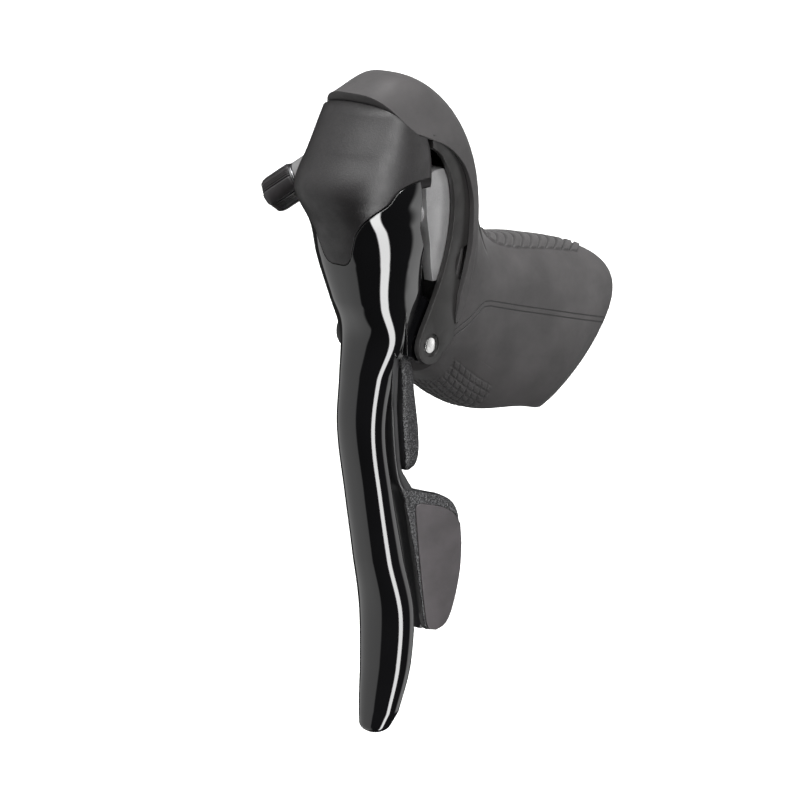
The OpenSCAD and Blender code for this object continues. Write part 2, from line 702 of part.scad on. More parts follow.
// Each row is a level slice of the pull paddle's stem:
// height, middle x, half depth, middle y, half thickness.
PULL = [
    [2, 67, 1.1, 6, 1.3],
    [-6, 66.7, 1.2, 5.8, 1.5],
    [-14, 66.2, 1.3, 5.5, 1.9],
    [-21, 65.5, 1.3, 5.3, 2.3],
    [-25, 63.8, 2, 5.2, 2.6],
    [-29, 61.6, 2.2, 5.2, 2.7],
    [-38, 59.6, 1.8, 5.2, 2.6],
    [-48.5, 57.6, 1.7, 5.3, 2.5],
    [-58, 56.3, 1.6, 5.4, 2.4],
    [-67.4, 55.6, 1.4, 5.5, 2.1]
];

function pull_ring(k) = [for (j = [0 : 15]) let (a = -360 * j / 16)
    [k[1] + k[2] * signed_pow(cos(a), 0.6), k[3] + k[4] * signed_pow(sin(a), 0.6), k[0]]];

module pull_pad() color("#59565a")
    on_pad_plane() translate([0, 0, 0.1]) linear_extrude(1.5) polygon(rubber_outline);

// ---------- barrel adjuster ----------

module adjuster_detent() color("silver") at_adjuster() difference() {
    translate([0, 0, -5.6]) cylinder(r = 4.4, h = 0.8);
    translate([0, 0, -20]) cylinder(r = 2.55, h = 40);
}

module adjuster_barrel() color("silver") at_adjuster() difference() {
    union() {
        translate([0, 0, -14]) cylinder(r = 2.5, h = 17);
        translate([0, 0, 2]) cylinder(r = 3.3, h = knob_len / 2 - 2.4);
    }
    translate([0, 0, -20]) cylinder(r = 0.9, h = 40);
    translate([0, 0, -2]) cylinder(r = gear_casing_d / 2, h = 20);
}

module adjuster_knob() color("#161618") at_adjuster() difference() {
    union() {
        translate([0, 0, -knob_len / 2]) cylinder(r = knob_r - 0.7, h = knob_len);
        for (i = [0 : knob_ribs - 1]) rotate([0, 0, 360 * i / knob_ribs])
            translate([knob_r - 1.5, -0.75, -knob_len / 2 + 0.5]) cube([1.5, 1.5, knob_len - 1.2]);
    }
    translate([0, 0, -20]) cylinder(r = 2.52, h = 40);
    translate([0, 0, 1.9]) cylinder(r = 3.32, h = 20);
}

hood_cover();
bracket_body();
clamp_band();
clamp_nut();
clamp_bolt();
pivot_pin();
pivot_clip();
brake_cable_guide();
brake_lever();
name_plate();
name_plate_screw();
shift_housing();
housing_posts();
post_screws();
front_plate();
pivot_bushes();
shift_axle();
axle_nut();
release_spring();
pull_spring();
lever_return_spring();
hold_pawl_pin();
adjuster_boss();
reach_screw();
cable_hook();
cable_spool();
ratchet_wheel();
hold_pawl();
pull_paddle();
pull_pad();
drive_pawl_pin();
drive_pawl();
release_paddle();
adjuster_detent();
adjuster_barrel();
adjuster_knob();
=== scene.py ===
import math

import bmesh
import bpy
import numpy as np
from mathutils import Matrix, Vector


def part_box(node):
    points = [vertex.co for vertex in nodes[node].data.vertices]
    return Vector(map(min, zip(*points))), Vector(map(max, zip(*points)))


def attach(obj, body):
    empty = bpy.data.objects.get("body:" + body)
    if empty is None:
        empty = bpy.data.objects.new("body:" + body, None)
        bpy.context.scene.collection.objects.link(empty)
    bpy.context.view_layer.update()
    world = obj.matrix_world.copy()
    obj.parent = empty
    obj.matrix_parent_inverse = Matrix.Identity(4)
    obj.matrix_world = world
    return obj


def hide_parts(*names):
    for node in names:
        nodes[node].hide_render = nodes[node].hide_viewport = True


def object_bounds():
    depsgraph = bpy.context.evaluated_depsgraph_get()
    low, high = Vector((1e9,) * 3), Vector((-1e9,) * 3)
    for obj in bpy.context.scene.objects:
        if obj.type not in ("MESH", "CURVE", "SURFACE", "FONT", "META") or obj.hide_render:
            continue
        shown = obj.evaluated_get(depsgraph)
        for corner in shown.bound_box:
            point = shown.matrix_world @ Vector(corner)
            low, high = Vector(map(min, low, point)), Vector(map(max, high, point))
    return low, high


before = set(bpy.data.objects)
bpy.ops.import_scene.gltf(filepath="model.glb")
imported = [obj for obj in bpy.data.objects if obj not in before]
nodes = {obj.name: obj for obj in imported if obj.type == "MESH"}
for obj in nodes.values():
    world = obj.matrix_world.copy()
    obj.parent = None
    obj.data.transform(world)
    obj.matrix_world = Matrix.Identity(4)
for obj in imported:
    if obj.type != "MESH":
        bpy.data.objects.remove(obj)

# Brake and shift lever: the looks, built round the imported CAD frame. Shapes are worked out in
# millimetres in the CAD frame (+X forwards, +Y outboard, +Z up) and made in metres.
cad_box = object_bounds()
MM = 0.001


def middle_of(node):
    """Middle of a CAD node's box, in millimetres."""
    low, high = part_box(node)
    return (np.array(low) + np.array(high)) / 2 / MM


# ---------- driving dimensions, as in the CAD ----------

BAR_SLOPE, BAR_R, BAND_W, BAND_R = 41, 12, 12, 13
PIVOT = middle_of("pivot_pin")[[0, 2]]
AXLE_Z = middle_of("shift_axle")[2]
ARM_IN, ARM_OUT = 12.7, 14.2
EAR_IN, EAR_OUT = 9, 11.2
PLATE_BACK = 61.5
PLATE_WALL = 1.6
HEAD_WALL = 2
RELEASE_X = (63.7, 65.5)
PULL_X = (65.9, 68.1)
BOLT_Y = 5
KNOB_R, KNOB_LEN = 5, 9.5

AT_BAR = Matrix.Rotation(math.radians(BAR_SLOPE - 90), 4, "Y")
AT_ADJUSTER = (Matrix.Translation((74, -24, 50)) @ Matrix.Rotation(math.radians(-67), 4, "Z")
               @ Matrix.Rotation(math.radians(125), 4, "Y"))
AT_BOLT = AT_BAR @ Matrix.Translation((16, BOLT_Y, 0)) @ Matrix.Rotation(math.radians(90), 4, "Y")
AT_GUIDE = Matrix.Translation((24, -6.5, 29.4)) @ Matrix.Rotation(math.radians(-101), 4, "Y")
AT_PAD = (Matrix.Translation((60.6, 7, 0)) @ Matrix.Rotation(math.radians(164), 4, "Z")
          @ Matrix.Rotation(math.radians(90), 4, "X"))


# ---------- curves ----------

def spow(v, p):
    """Signed power, which squares off a round section when p is under 1."""
    return np.sign(v) * np.abs(v) ** p


def along(rows, u):
    """Smooth value between the rows of a table, at each u from 0 to len - 1."""
    rows = np.asarray(rows, float)
    rows = np.vstack([2 * rows[0] - rows[1], rows, 2 * rows[-1] - rows[-2]])
    u = np.asarray(u, float)
    i = np.minimum(np.floor(u).astype(int), len(rows) - 4)
    t = (u - i)[..., None]
    a, b, c, d = (rows[i + k] for k in range(4))
    return 0.5 * (2 * b + (c - a) * t + (2 * a - 5 * b + 4 * c - d) * t ** 2
                  + (3 * b - a - 3 * c + d) * t ** 3)


def smooth(points, n=6):
    """Smooth run of points through a list of points, n to each span."""
    spans = len(points) - 1
    return along(points, np.linspace(0, spans, n * spans + 1)).tolist()


def arc(centre, r, a0, a1, n=16):
    turns = np.radians(np.linspace(a0, a1, n + 1))
    return [[centre[0] + r * math.cos(a), centre[1] + r * math.sin(a)] for a in turns]


def ease(v, a, b):
    """0 below a, 1 above b, and a smooth step between."""
    t = np.clip((v - a) / (b - a), 0, 1)
    return t * t * (3 - 2 * t)


# ---------- meshes ----------

def new_object(name, mesh):
    obj = bpy.data.objects.new(name, mesh)
    bpy.context.scene.collection.objects.link(obj)
    return obj


def placed(points, matrix):
    """Points moved by a matrix, in millimetres."""
    m = np.array(matrix)
    return np.asarray(points) @ m[:3, :3].T + m[:3, 3]


def loft(name, rings, matrix=Matrix()):
    """Closed solid through a list of rings, each with the same number of points."""
    rings = placed(rings, matrix)
    m, n, _ = rings.shape
    points = np.vstack([rings.reshape(-1, 3), rings[0].mean(0), rings[-1].mean(0)])
    i, j = np.meshgrid(np.arange(m - 1), np.arange(n), indexing="ij")
    k = (j + 1) % n
    quads = np.stack([i * n + j, i * n + k, (i + 1) * n + k, (i + 1) * n + j], -1).reshape(-1, 4)
    j, k = np.arange(n), (np.arange(n) + 1) % n
    first = np.stack([k, j, np.full(n, m * n)], -1)
    last = np.stack([(m - 1) * n + j, (m - 1) * n + k, np.full(n, m * n + 1)], -1)
    p = points[quads]
    volume = (np.cross(p[:, 0], p[:, 1]) * p[:, 2]).sum() + (np.cross(p[:, 0], p[:, 2]) * p[:, 3]).sum()
    faces = quads.tolist() + first.tolist() + last.tolist()
    if volume < 0:
        faces = [f[::-1] for f in faces]
    mesh = bpy.data.meshes.new(name)
    mesh.from_pydata((points * MM).tolist(), [], faces)
    return new_object(name, mesh)


def rod(r, start, end, axis="y", at=(0, 0), matrix=Matrix(), sides=64, name="cutter"):
    """Cylinder along an axis from start to end, centred at the other two coordinates."""
    turns = np.radians(np.arange(sides) * 360 / sides)
    a, b = at[0] + r * np.cos(turns), at[1] + r * np.sin(turns)
    rings = []
    for s in (start, end):
        s = np.full(sides, float(s))
        rings.append(np.stack({"x": (s, a, b), "y": (a, s, b), "z": (a, b, s)}[axis], -1))
    return loft(name, rings, matrix)


def slab(outline, start, end, axis="y", grow=0, edge=0, matrix=Matrix(), name="cutter"):
    """Outline made solid along an axis, grown all round, with its rims rounded by edge."""
    outline = np.asarray(outline, float)
    if grow:
        outline = grown(outline, grow)
        start, end = start - grow, end + grow
    flat = np.full(len(outline), float(start))
    ring = {"x": (flat, outline[:, 0], outline[:, 1]), "y": (outline[:, 0], flat, outline[:, 1]),
            "z": (outline[:, 0], outline[:, 1], flat)}[axis]
    step = {"x": (1, 0, 0), "y": (0, 1, 0), "z": (0, 0, 1)}[axis]
    bm = bmesh.new()
    verts = [bm.verts.new(p * MM) for p in placed(np.stack(ring, -1), matrix)]
    face = bm.faces.new(verts)
    made = bmesh.ops.extrude_face_region(bm, geom=[face])["geom"]
    shift = matrix.to_3x3() @ Vector(step) * (end - start) * MM
    bmesh.ops.translate(bm, vec=shift, verts=[g for g in made if isinstance(g, bmesh.types.BMVert)])
    bmesh.ops.recalc_face_normals(bm, faces=bm.faces)
    if edge:
        caps = [f for f in bm.faces if len(f.verts) > 4]
        rims = {e for f in caps for e in f.edges}
        bmesh.ops.bevel(bm, geom=list(rims), offset=edge * MM, segments=4, profile=0.5,
                        affect="EDGES", clamp_overlap=True)
    mesh = bpy.data.meshes.new(name)
    bm.to_mesh(mesh)
    bm.free()
    return new_object(name, mesh)


def grown(outline, g):
    """Outline with every side moved outwards by g."""
    area = np.cross(outline, np.roll(outline, -1, 0)).sum()
    sides = np.roll(outline, -1, 0) - outline
    sides /= np.hypot(*sides.T)[:, None]
    out = np.stack([sides[:, 1], -sides[:, 0]], -1) * np.sign(area)
    before = np.roll(out, 1, 0)
    both = out + before
    return outline + g * both * (2 / (both ** 2).sum(1))[:, None]


def box(low, high, matrix=Matrix()):
    (x0, y0, z0), (x1, y1, z1) = low, high
    ring = [(x0, y0), (x1, y0), (x1, y1), (x0, y1)]
    return loft("cutter", [[(x, y, z) for x, y in ring] for z in (z0, z1)], matrix)


def combine(obj, others, operation="DIFFERENCE"):
    """Cuts the others from obj, or joins or intersects them with it, and removes them."""
    for other in others:
        step = obj.modifiers.new("combine", "BOOLEAN")
        step.operation, step.solver, step.object = operation, "MANIFOLD", other
    made = bpy.data.meshes.new_from_object(obj.evaluated_get(bpy.context.evaluated_depsgraph_get()))
    obj.modifiers.clear()
    obj.data = made
    for other in others:
        bpy.data.objects.remove(other)
    return obj


def coordinates(obj):
    """The mesh's vertices, in millimetres."""
    flat = np.empty(len(obj.data.vertices) * 3)
    obj.data.vertices.foreach_get("co", flat)
    return flat.reshape(-1, 3) / MM


def mark(obj, name, values):
    """Stores a number at each vertex for the material to read."""
    obj.data.attributes.new(name, "FLOAT", "POINT").data.foreach_set("value", np.asarray(values, float))


def shade(mesh, angle=34):
    """Smooth shading, kept sharp across edges steeper than angle."""
    mesh.polygons.foreach_set("use_smooth", [True] * len(mesh.polygons))
    mesh.set_sharp_from_angle(angle=math.radians(angle))


def piece(obj, name, body, node, slot, angle=34):
    """Names a finished piece that rides on a body and stands for a CAD node."""
    obj.name = name
    obj.data.materials.clear()
    obj.data.materials.append(finish(slot))
    shade(obj.data, angle)
    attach(obj, body)
    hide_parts(node)
    return obj


# ---------- materials ----------

class Shader:
    """Material nodes with a Principled shader at the end, in the piece's own coordinates."""

    def __init__(self, name):
        self.material = bpy.data.materials.new(name)
        self.material.use_nodes = True
        self.tree = self.material.node_tree
        self.tree.nodes.clear()
        self.surface = self.add("BsdfPrincipled")
        self.add("OutputMaterial", Surface=self.surface.outputs[0])
        self.at = self.add("TexCoord").outputs["Object"]

    def add(self, kind, **inputs):
        node = self.tree.nodes.new("ShaderNode" + kind)
        self.set(node, **inputs)
        return node

    def set(self, node, **inputs):
        for key, value in inputs.items():
            index = key[1:] if key[0] == "_" else None
            socket = node.inputs[int(index)] if index else node.inputs[key.replace("_", " ")]
            if isinstance(value, bpy.types.NodeSocket):
                self.tree.links.new(value, socket)
            else:
                socket.default_value = value

    def noise(self, size, detail=2.0, rough=0.5, stretch=(1, 1, 1)):
        """Noise with features about size mm across."""
        moved = self.add("Mapping", Vector=self.at, Scale=tuple(1 / (size * MM * s) for s in stretch))
        return self.add("TexNoise", Vector=moved.outputs[0], Scale=1.0, Detail=detail,
                        Roughness=rough).outputs["Fac"]

    def cells(self, size):
        """Rounded pebbles about size mm across."""
        moved = self.add("Mapping", Vector=self.at, Scale=(1 / (size * MM),) * 3)
        node = self.add("TexVoronoi", Vector=moved.outputs[0], Scale=1.0, Randomness=0.9)
        node.feature = "SMOOTH_F1"
        return node.outputs["Distance"]

    def ranged(self, value, low, high, to_low=0.0, to_high=1.0):
        node = self.add("MapRange", Value=value, From_Min=low, From_Max=high, To_Min=to_low, To_Max=to_high)
        return node.outputs[0]

    def times(self, a, b, operation="MULTIPLY"):
        node = self.add("Math", _0=a, _1=b)
        node.operation = operation
        return node.outputs[0]

    def blend(self, factor, a, b):
        node = self.add("MixRGB", _0=factor)
        for i, colour in ((1, a), (2, b)):
            if isinstance(colour, bpy.types.NodeSocket):
                self.tree.links.new(colour, node.inputs[i])
            else:
                node.inputs[i].default_value = (*colour, 1)
        return node.outputs[0]

    def raised(self, height, depth, normal=None):
        """Bump of that depth in mm."""
        node = self.add("Bump", Height=height, Strength=1.0, Distance=depth * MM)
        if normal:
            self.set(node, Normal=normal)
        return node.outputs[0]

    def attribute(self, name):
        node = self.add("Attribute")
        node.attribute_name = name
        return node.outputs["Fac"]


# Each finish: base colour, how far its clouds darken it, roughness and its spread, cloud size,
# grain size and depth, and rounding of its edges, in mm; then the shader's own values.
FINISHES = {
    "hood_rubber": dict(colour=(0.042, 0.0392, 0.0398), clouds=0.16, rough=(0.52, 0.66), cloud=11,
                        grain=(0.22, 0.012), edge=0.45,
                        values={"Specular_IOR_Level": 0.5, "Sheen_Weight": 0.12, "Sheen_Roughness": 0.5}),
    "bracket_plastic": dict(colour=(0.018, 0.0172, 0.0168), clouds=0.1, rough=(0.36, 0.46), cloud=8,
                            grain=(0.16, 0.006), edge=0.25, values={}),
    "satin_grey": dict(colour=(0.27, 0.268, 0.27), clouds=0.08, rough=(0.36, 0.44), cloud=5,
                       grain=(0.14, 0.012), edge=0.3, values={"Metallic": 0.35}),
    "gloss_black": dict(colour=(0.0035, 0.0035, 0.004), clouds=0.1, rough=(0.035, 0.06), cloud=20,
                        grain=(0.8, 0.0006), edge=0.25, values={"Coat_Weight": 0.6, "Coat_Roughness": 0.02}),
    "grained_black": dict(colour=(0.015, 0.014, 0.0145), clouds=0.12, rough=(0.38, 0.5), cloud=4,
                          grain=(0.2, 0.03), edge=0.35, values={}),
    "paddle_black": dict(colour=(0.016, 0.016, 0.017), clouds=0.12, rough=(0.3, 0.4), cloud=6,
                         grain=(0.5, 0.004), edge=0.3, values={}),
    "pad_rubber": dict(colour=(0.062, 0.056, 0.059), clouds=0.12, rough=(0.5, 0.62), cloud=7,
                       grain=(0.2, 0.01), edge=0.3, values={}),
    "knob_plastic": dict(colour=(0.030, 0.028, 0.029), clouds=0.12, rough=(0.28, 0.38), cloud=3,
                         grain=(0.15, 0.006), edge=0.2, values={}),
    "black_plastic": dict(colour=(0.02, 0.02, 0.02), clouds=0.15, rough=(0.38, 0.5), cloud=3,
                          grain=(0.2, 0.008), edge=0.15, values={}),
    "spool_plastic": dict(colour=(0.05, 0.05, 0.054), clouds=0.1, rough=(0.4, 0.5), cloud=3,
                          grain=(0.2, 0.005), edge=0.1, values={}),
    "stainless": dict(colour=(0.55, 0.55, 0.56), clouds=0.12, rough=(0.22, 0.36), cloud=2,
                      grain=(0.12, 0.002), edge=0.1, values={"Metallic": 1.0}),
    "bright_steel": dict(colour=(0.68, 0.68, 0.67), clouds=0.1, rough=(0.16, 0.28), cloud=1.5,
                         grain=(0.1, 0.002), edge=0.1, values={"Metallic": 1.0}),
    "zinc_steel": dict(colour=(0.46, 0.47, 0.48), clouds=0.2, rough=(0.3, 0.45), cloud=1.5,
                       grain=(0.15, 0.004), edge=0.1, values={"Metallic": 1.0}),
    "black_steel": dict(colour=(0.035, 0.035, 0.037), clouds=0.2, rough=(0.32, 0.46), cloud=1.5,
                        grain=(0.15, 0.004), edge=0.1, values={"Metallic": 0.7}),
    "spring_steel": dict(colour=(0.42, 0.42, 0.43), clouds=0.15, rough=(0.2, 0.3), cloud=1,
                         grain=(0.1, 0.002), edge=0.05, values={"Metallic": 1.0}),
    "bronze": dict(colour=(0.42, 0.29, 0.14), clouds=0.2, rough=(0.3, 0.44), cloud=1,
                   grain=(0.12, 0.004), edge=0.1, values={"Metallic": 1.0}),
}
made_finishes = {}


def finish(slot):
    """The slot's procedural material, made once."""
    if slot not in made_finishes:
        made_finishes[slot] = make_finish(slot, **FINISHES[slot])
    return made_finishes[slot]


def make_finish(slot, colour, clouds, rough, cloud, grain, edge, values):
    """Builds a slot's material from its row of FINISHES."""
    s = Shader(slot)
    cloudy = s.noise(cloud, 3.0)
    dark = tuple(c * (1 - 2 * clouds) for c in colour)
    light = tuple(c * (1 + clouds) for c in colour)
    base = s.blend(s.ranged(cloudy, 0.3, 0.7), dark, light)
    roughness = s.ranged(cloudy, 0.3, 0.7, rough[1], rough[0])
    rounded = s.add("Bevel", Radius=edge * MM)
    rounded.samples = 4
    normal = s.raised(s.noise(grain[0]), grain[1], rounded.outputs[0])
    if slot == "hood_rubber":
        # moulded seam lines, from the signed distance to them; their grooves get painted shade, the base colour
        # darkened to a quarter
        side = s.attribute("seam")
        lines = [s.times(side, shift, "ADD") for shift in (0.0, SEAM_GAP)]
        lines = [s.times(line, 0.0, "ABSOLUTE") for line in lines]
        groove = s.ranged(s.times(*lines, "MINIMUM"), 0.1, 0.26, 1.0, 0.0)
        base = s.blend(groove, base, tuple(c * 0.25 for c in colour))
        # painted shade in the gaps between the ribs and the cuts between the grip cells, the base colour
        # darkened towards a fifth
        base = s.blend(s.times(s.attribute("groove"), 0.75), base, tuple(c * 0.2 for c in colour))
        normal = s.raised(groove, -0.1, normal)
        smudge = s.noise(3.5, 4.0, 0.65)
        roughness = s.times(roughness, s.ranged(smudge, 0.35, 0.75, 1.06, 0.86))
    if slot == "grained_black":
        # fine speckle of the moulded grain, its flecks painted lighter in the base colour as glints of light on
        # the grain
        glint_flecks = s.ranged(s.noise(0.16, 1.0), 0.62, 0.72)
        base = s.blend(glint_flecks, base, tuple(c * 2.2 for c in colour))
        normal = s.raised(s.cells(0.34), 0.02, normal)
    if slot == "satin_grey":
        base = s.blend(s.ranged(s.noise(0.14, 1.0), 0.5, 0.7), base, tuple(c * 1.35 for c in colour))
    if slot == "paddle_black":
        # leather grain where the piece is marked for it
        grained = s.attribute("grain")
        pebbles = s.cells(0.38)
        normal = s.raised(s.times(pebbles, grained), 0.3, normal)
        # pebble tops painted lighter in the base colour, a painted highlight where light catches the grain
        lit_pebble_tops = s.times(s.ranged(pebbles, 0.42, 0.12), grained)
        base = s.blend(lit_pebble_tops, base, tuple(c * 7 for c in colour))
        roughness = s.times(roughness, s.ranged(grained, 0.0, 1.0, 1.0, 1.12))
    s.set(s.surface, Base_Color=base, Roughness=roughness, Normal=normal, **values)
    return s.material


# ---------- hood ----------

# Rows of the hood, from the handlebar to the front edge: bottom, two curve controls and top as
# x, z pairs; half width at the bottom, middle and top; squareness.
HOOD = [
    [15.4, -19.2, 0.2, -2, -25.7, 12.7, -5.6, 26.5, 14.8, 16.6, 15.5, 0.59],
    [23.5, -17, 5, -5.4, 0, 15.9, 7.2, 29.8, 13.8, 17.9, 14.1, 0.6],
    [40.4, -8.6, 32.4, 6.2, 28.6, 19.9, 30.4, 36, 12.5, 15.2, 12.9, 0.66],
    [50.1, -1, 44.1, 14, 39.3, 30.3, 39.4, 51.7, 13.6, 15.3, 11.6, 0.67],
    [54.2, 1.5, 47.7, 19, 38.2, 45.3, 45.4, 70.9, 14, 15.6, 12.8, 0.71],
    [56.2, 2.9, 47.2, 23.2, 33.2, 58.4, 60.8, 81.5, 14.5, 16, 13.6, 0.64],
    [57.5, 3.5, 52, 23, 45, 45, 75.3, 77.9, 14.5, 16, 16, 0.55],
]
SEAM = [(53.4, 12.6), (42.6, 19.2), (40.6, 19.9), (38, 19.6), (26.9, 16.3), (-13.5, 5.0)]
SEAM_GAP = 1.35
RIBS_FROM, RIB_COUNT = 39.8, 15
RIB_PITCH, RIB_HEIGHT, RIB_CURVE, RIB_EDGE = 3.6, 0.6, 0.085, 8.4
CELLS_BACK, CELLS_FRONT = 33, 49.5
CELL_PITCH, CELL_ROW, CELL_DEPTH, CELL_TOP = 2.35, 2.1, 0.34, 15.2


def hood_rings(slices, sides):
    """Points of the hood, and how far round each is from the bottom line."""
    k = along(HOOD, np.linspace(0, len(HOOD) - 1, slices))
    a = np.radians(np.arange(sides) * 360 / sides)[None, :]
    square = k[:, 11:12]
    t = (1 - spow(np.cos(a), square)) / 2
    w = k[:, 8:9] * (1 - t) * (1 - 2 * t) + k[:, 9:10] * 4 * t * (1 - t) + k[:, 10:11] * t * (2 * t - 1)
    x, z = (k[:, i:i + 1] * (1 - t) ** 3 + k[:, i + 2:i + 3] * 3 * t * (1 - t) ** 2
            + k[:, i + 4:i + 5] * 3 * t * t * (1 - t) + k[:, i + 6:i + 7] * t ** 3 for i in (0, 1))
    rings = np.stack([x, w * spow(np.sin(a), square), z], -1)
    steps = np.linalg.norm(np.roll(rings, -1, 1) - rings, axis=2)
    total = steps.sum(1, keepdims=True)
    far = np.hstack([np.zeros((slices, 1)), np.cumsum(steps, 1)[:, :-1]])
    return rings, np.minimum(far, total - far)


def ring_normals(rings):
    """Outward unit normals of a grid of rings."""
    down = np.gradient(rings, axis=0)
    round_ = np.roll(rings, -1, 1) - np.roll(rings, 1, 1)
    n = np.cross(round_, down)
    n /= np.linalg.norm(n, axis=2, keepdims=True) + 1e-9
    outward = ((rings - rings.mean(1, keepdims=True)) * n).sum()
    return n * np.sign(outward)


def hood_relief(rings, girth):
    """Height of the moulded ribs and grip cells above the plain rubber, and where their grooves are, which the
    rubber's material darkens as painted shade.
    """
    x, y, z = np.moveaxis(rings, -1, 0)
    turn = girth / girth.max(1, keepdims=True)
    # U-shaped ribs across the top, behind the neck
    place = (RIBS_FROM - x + RIB_CURVE * y * y) / RIB_PITCH
    gap = ease(np.abs(2 * (place % 1) - 1), 0.62, 0.9)
    band = (ease(RIB_EDGE + 0.08 * (38 - x) - np.abs(y), -0.3, 0.1) * (turn > 0.6)
            * ease(place, -0.02, 0.02) * ease(-place, -RIB_COUNT - 0.02, -RIB_COUNT + 0.02) * ease(-z, -38, -37))
    # slanted grip cells under the front
    column = ease(np.abs(2 * (((x - 0.3 * girth) / CELL_PITCH) % 1) - 1), 0.66, 0.9)
    row = ease(np.abs(2 * ((girth / CELL_ROW) % 1) - 1), 0.6, 0.88)
    cut = np.maximum(column, 0.8 * row)
    area = (ease(x, CELLS_BACK, CELLS_BACK + 0.6) * ease(-x, -CELLS_FRONT, -CELLS_FRONT + 1)
            * ease(-girth, -CELL_TOP, -CELL_TOP + 0.6) * (turn < 0.45))
    relief = RIB_HEIGHT * (1 - gap) * band + CELL_DEPTH * (0.6 - cut) * area
    return relief, np.maximum(gap * band, 0.6 * cut * area)


def core_outline(m):
    """Side outline of the bracket's core, drawn in from the hood by about m."""
    return [[27, -15.5 + m], [40, -7 + m], [49.5, -0.5 + m], [47, 12], [44.5, 26], [43.4, 42], [45, 55],
            [51, 64.6 - m / 4], [58, 69.6 - m / 3], [64, 70.5 - m / 3], [64, 79.6 - m], [60, 80.2 - m],
            [54, 78.6 - m], [48.5 + m / 3, 74 - m / 2], [43.6 + m / 4, 65], [40.6 + m / 4, 53],
            [37.4 + m / 3, 43], [31.5 + m / 3, 35.6 - m], [18.5, 32 - m], [9, 29.6 - m], [-1, 27 - m],
            [-14, 14], [-6, 2], [8, -8], [16, -12]]


ARM_FRONT = smooth([[63.9, 16.4], [60.6, 21.6], [57.4, 27.1], [54.4, 33.4], [52.2, 40.8], [51.5, 48],
                    [52.6, 54.5], [56.2, 60.6], [59.4, 63]], 5)
ARM = arc(PIVOT, 5, 215, 385) + ARM_FRONT + [[59.4, 64.6], [50, 59.4], [45.5, 54], [44.6, 44], [46.4, 30],
                                             [49.5, 18], [52.5, 11.5]]
RIM = ([[51.3, 12], [51.3, 18.8], [50.5, 23.7]]
       + smooth([[48.3, 30], [46.6, 36], [45.9, 44], [46.3, 50], [48.8, 57], [54.3, 62.6], [62.9, 66.7]])
       + smooth([[66.5, 68], [69.4, 70.6], [71.8, 73.6], [74.8, 76.9], [78, 80]]))


SHIFT_POCKET = [[46, 50], [48.3, 54], [48.3, 61.8], [53, 65], [57, 66.8], [62, 68], [66, 68], [66, 50]]
CORE_STEPS = ((2.6, 7.5), (6.5, 10.8), (11, 13.1))  # inset and half width of the bracket core's slabs


def front_of_rim(g=0.0):
    """All that lies in front of the hood's rim line, moved forwards by g."""
    line = [[x + g, z - g / 2] for x, z in RIM]
    return slab([[55.6, 1]] + line + [[95, 80 - g], [95, 1]], -30, 30)


def make_hood():
    rings, girth = hood_rings(330, 560)
    relief, groove = hood_relief(rings, girth)
    rings = rings + ring_normals(rings) * relief[..., None]
    hood = loft("hood", rings)
    # where the grooves are, for the painted shade that the rubber's material puts in them
    mark(hood, "groove", np.append(groove.ravel(), (0, 0)))
    play = 0.15
    cutters = [slab(core_outline(m), -w, w, grow=play) for m, w in CORE_STEPS]
    cutters += [slab(ARM, y0, y1, grow=play) for y0, y1 in ((-ARM_OUT, -ARM_IN), (ARM_IN, ARM_OUT))]
    cutters += [
        front_of_rim(),
        slab(SHIFT_POCKET, -12.6, 12.6),
        box((-63, -30, -60), (-3, 30, 60), AT_BAR),
        rod(BAR_R + 0.3, -60, 60, "z", matrix=AT_BAR, sides=128),
        rod(BAND_R + 0.3, -BAND_W / 2 - 0.5, BAND_W / 2 + 0.5, "z", matrix=AT_BAR, sides=128),
        box((-1, -BAND_R - 0.5, -BAND_W / 2 - 0.5), (22, BAND_R + 0.5, BAND_W / 2 + 0.5), AT_BAR),
        rod(3.3, -12, 48, "z", matrix=AT_GUIDE),
        rod(4.7, 0, 21, "z", matrix=AT_BOLT),
    ]
    combine(hood, cutters)
    x, y, z = coordinates(hood).T
    xs, zs = np.array(SEAM[::-1]).T
    slope = np.interp(x, (xs[1:] + xs[:-1]) / 2, np.diff(zs) / np.diff(xs))
    mark(hood, "seam", (z - np.interp(x, xs, zs)) / np.hypot(1, slope))
    return piece(hood, "hood_rubber_cover", "bracket", "hood_cover", "hood_rubber", 40)


# ---------- lever ----------

# Level slices of the lever, from its top to its tip: height, middle x, depth forwards, depth
# backwards, half width, middle y.
LEVER = [
    [80, 66.2, 4.5, 3, 10.5, 0],
    [73, 66.7, 9.3, 3, 14, 0],
    [64, 65.7, 16.7, 4.5, 16.2, 0.3],
    [54, 67.2, 20.6, 5.5, 17.6, 0.3],
    [44, 65.1, 17.9, 5, 15.5, 0.2],
    [35, 66, 14.5, 4.5, 14.2, 0],
    [24, 64.9, 12.4, 7, 11.7, 0],
    [14, 64.5, 8.9, 5, 10.4, 0],
    [4, 68.9, 6.4, 2.6, 7.8, 0],
    [-10, 71.1, 5.6, 2, 7.1, 0],
    [-28, 69, 5.6, 2.2, 7.1, 0.6],
    [-46, 66.3, 6.1, 2.6, 7.4, 1.5],
    [-60, 64.5, 6.1, 2.6, 8.2, 2.7],
    [-75, 65.7, 5.9, 2.4, 7.5, 3.4],
    [-87, 68.7, 4.9, 1.8, 5.9, 3.7],
    [-93, 71.1, 3.3, 1.2, 3.8, 3.5],
]
FRONT_SQUARE, BACK_SQUARE = 0.85, 0.6
HEAD_FLANK = [[50, 62], [70, 62], [68, 50], [66.7, 44], [63, 35.7], [58, 27], [50, 27]]
PLATE_EDGE = smooth([[0, 34.9], [2.6, 35.1], [4.3, 36.8], [5.5, 40], [7, 43.6], [9.6, 46.8],
                     [12.5, 49.4], [15.4, 52.2], [17, 56], [20, 60.5]], 8)


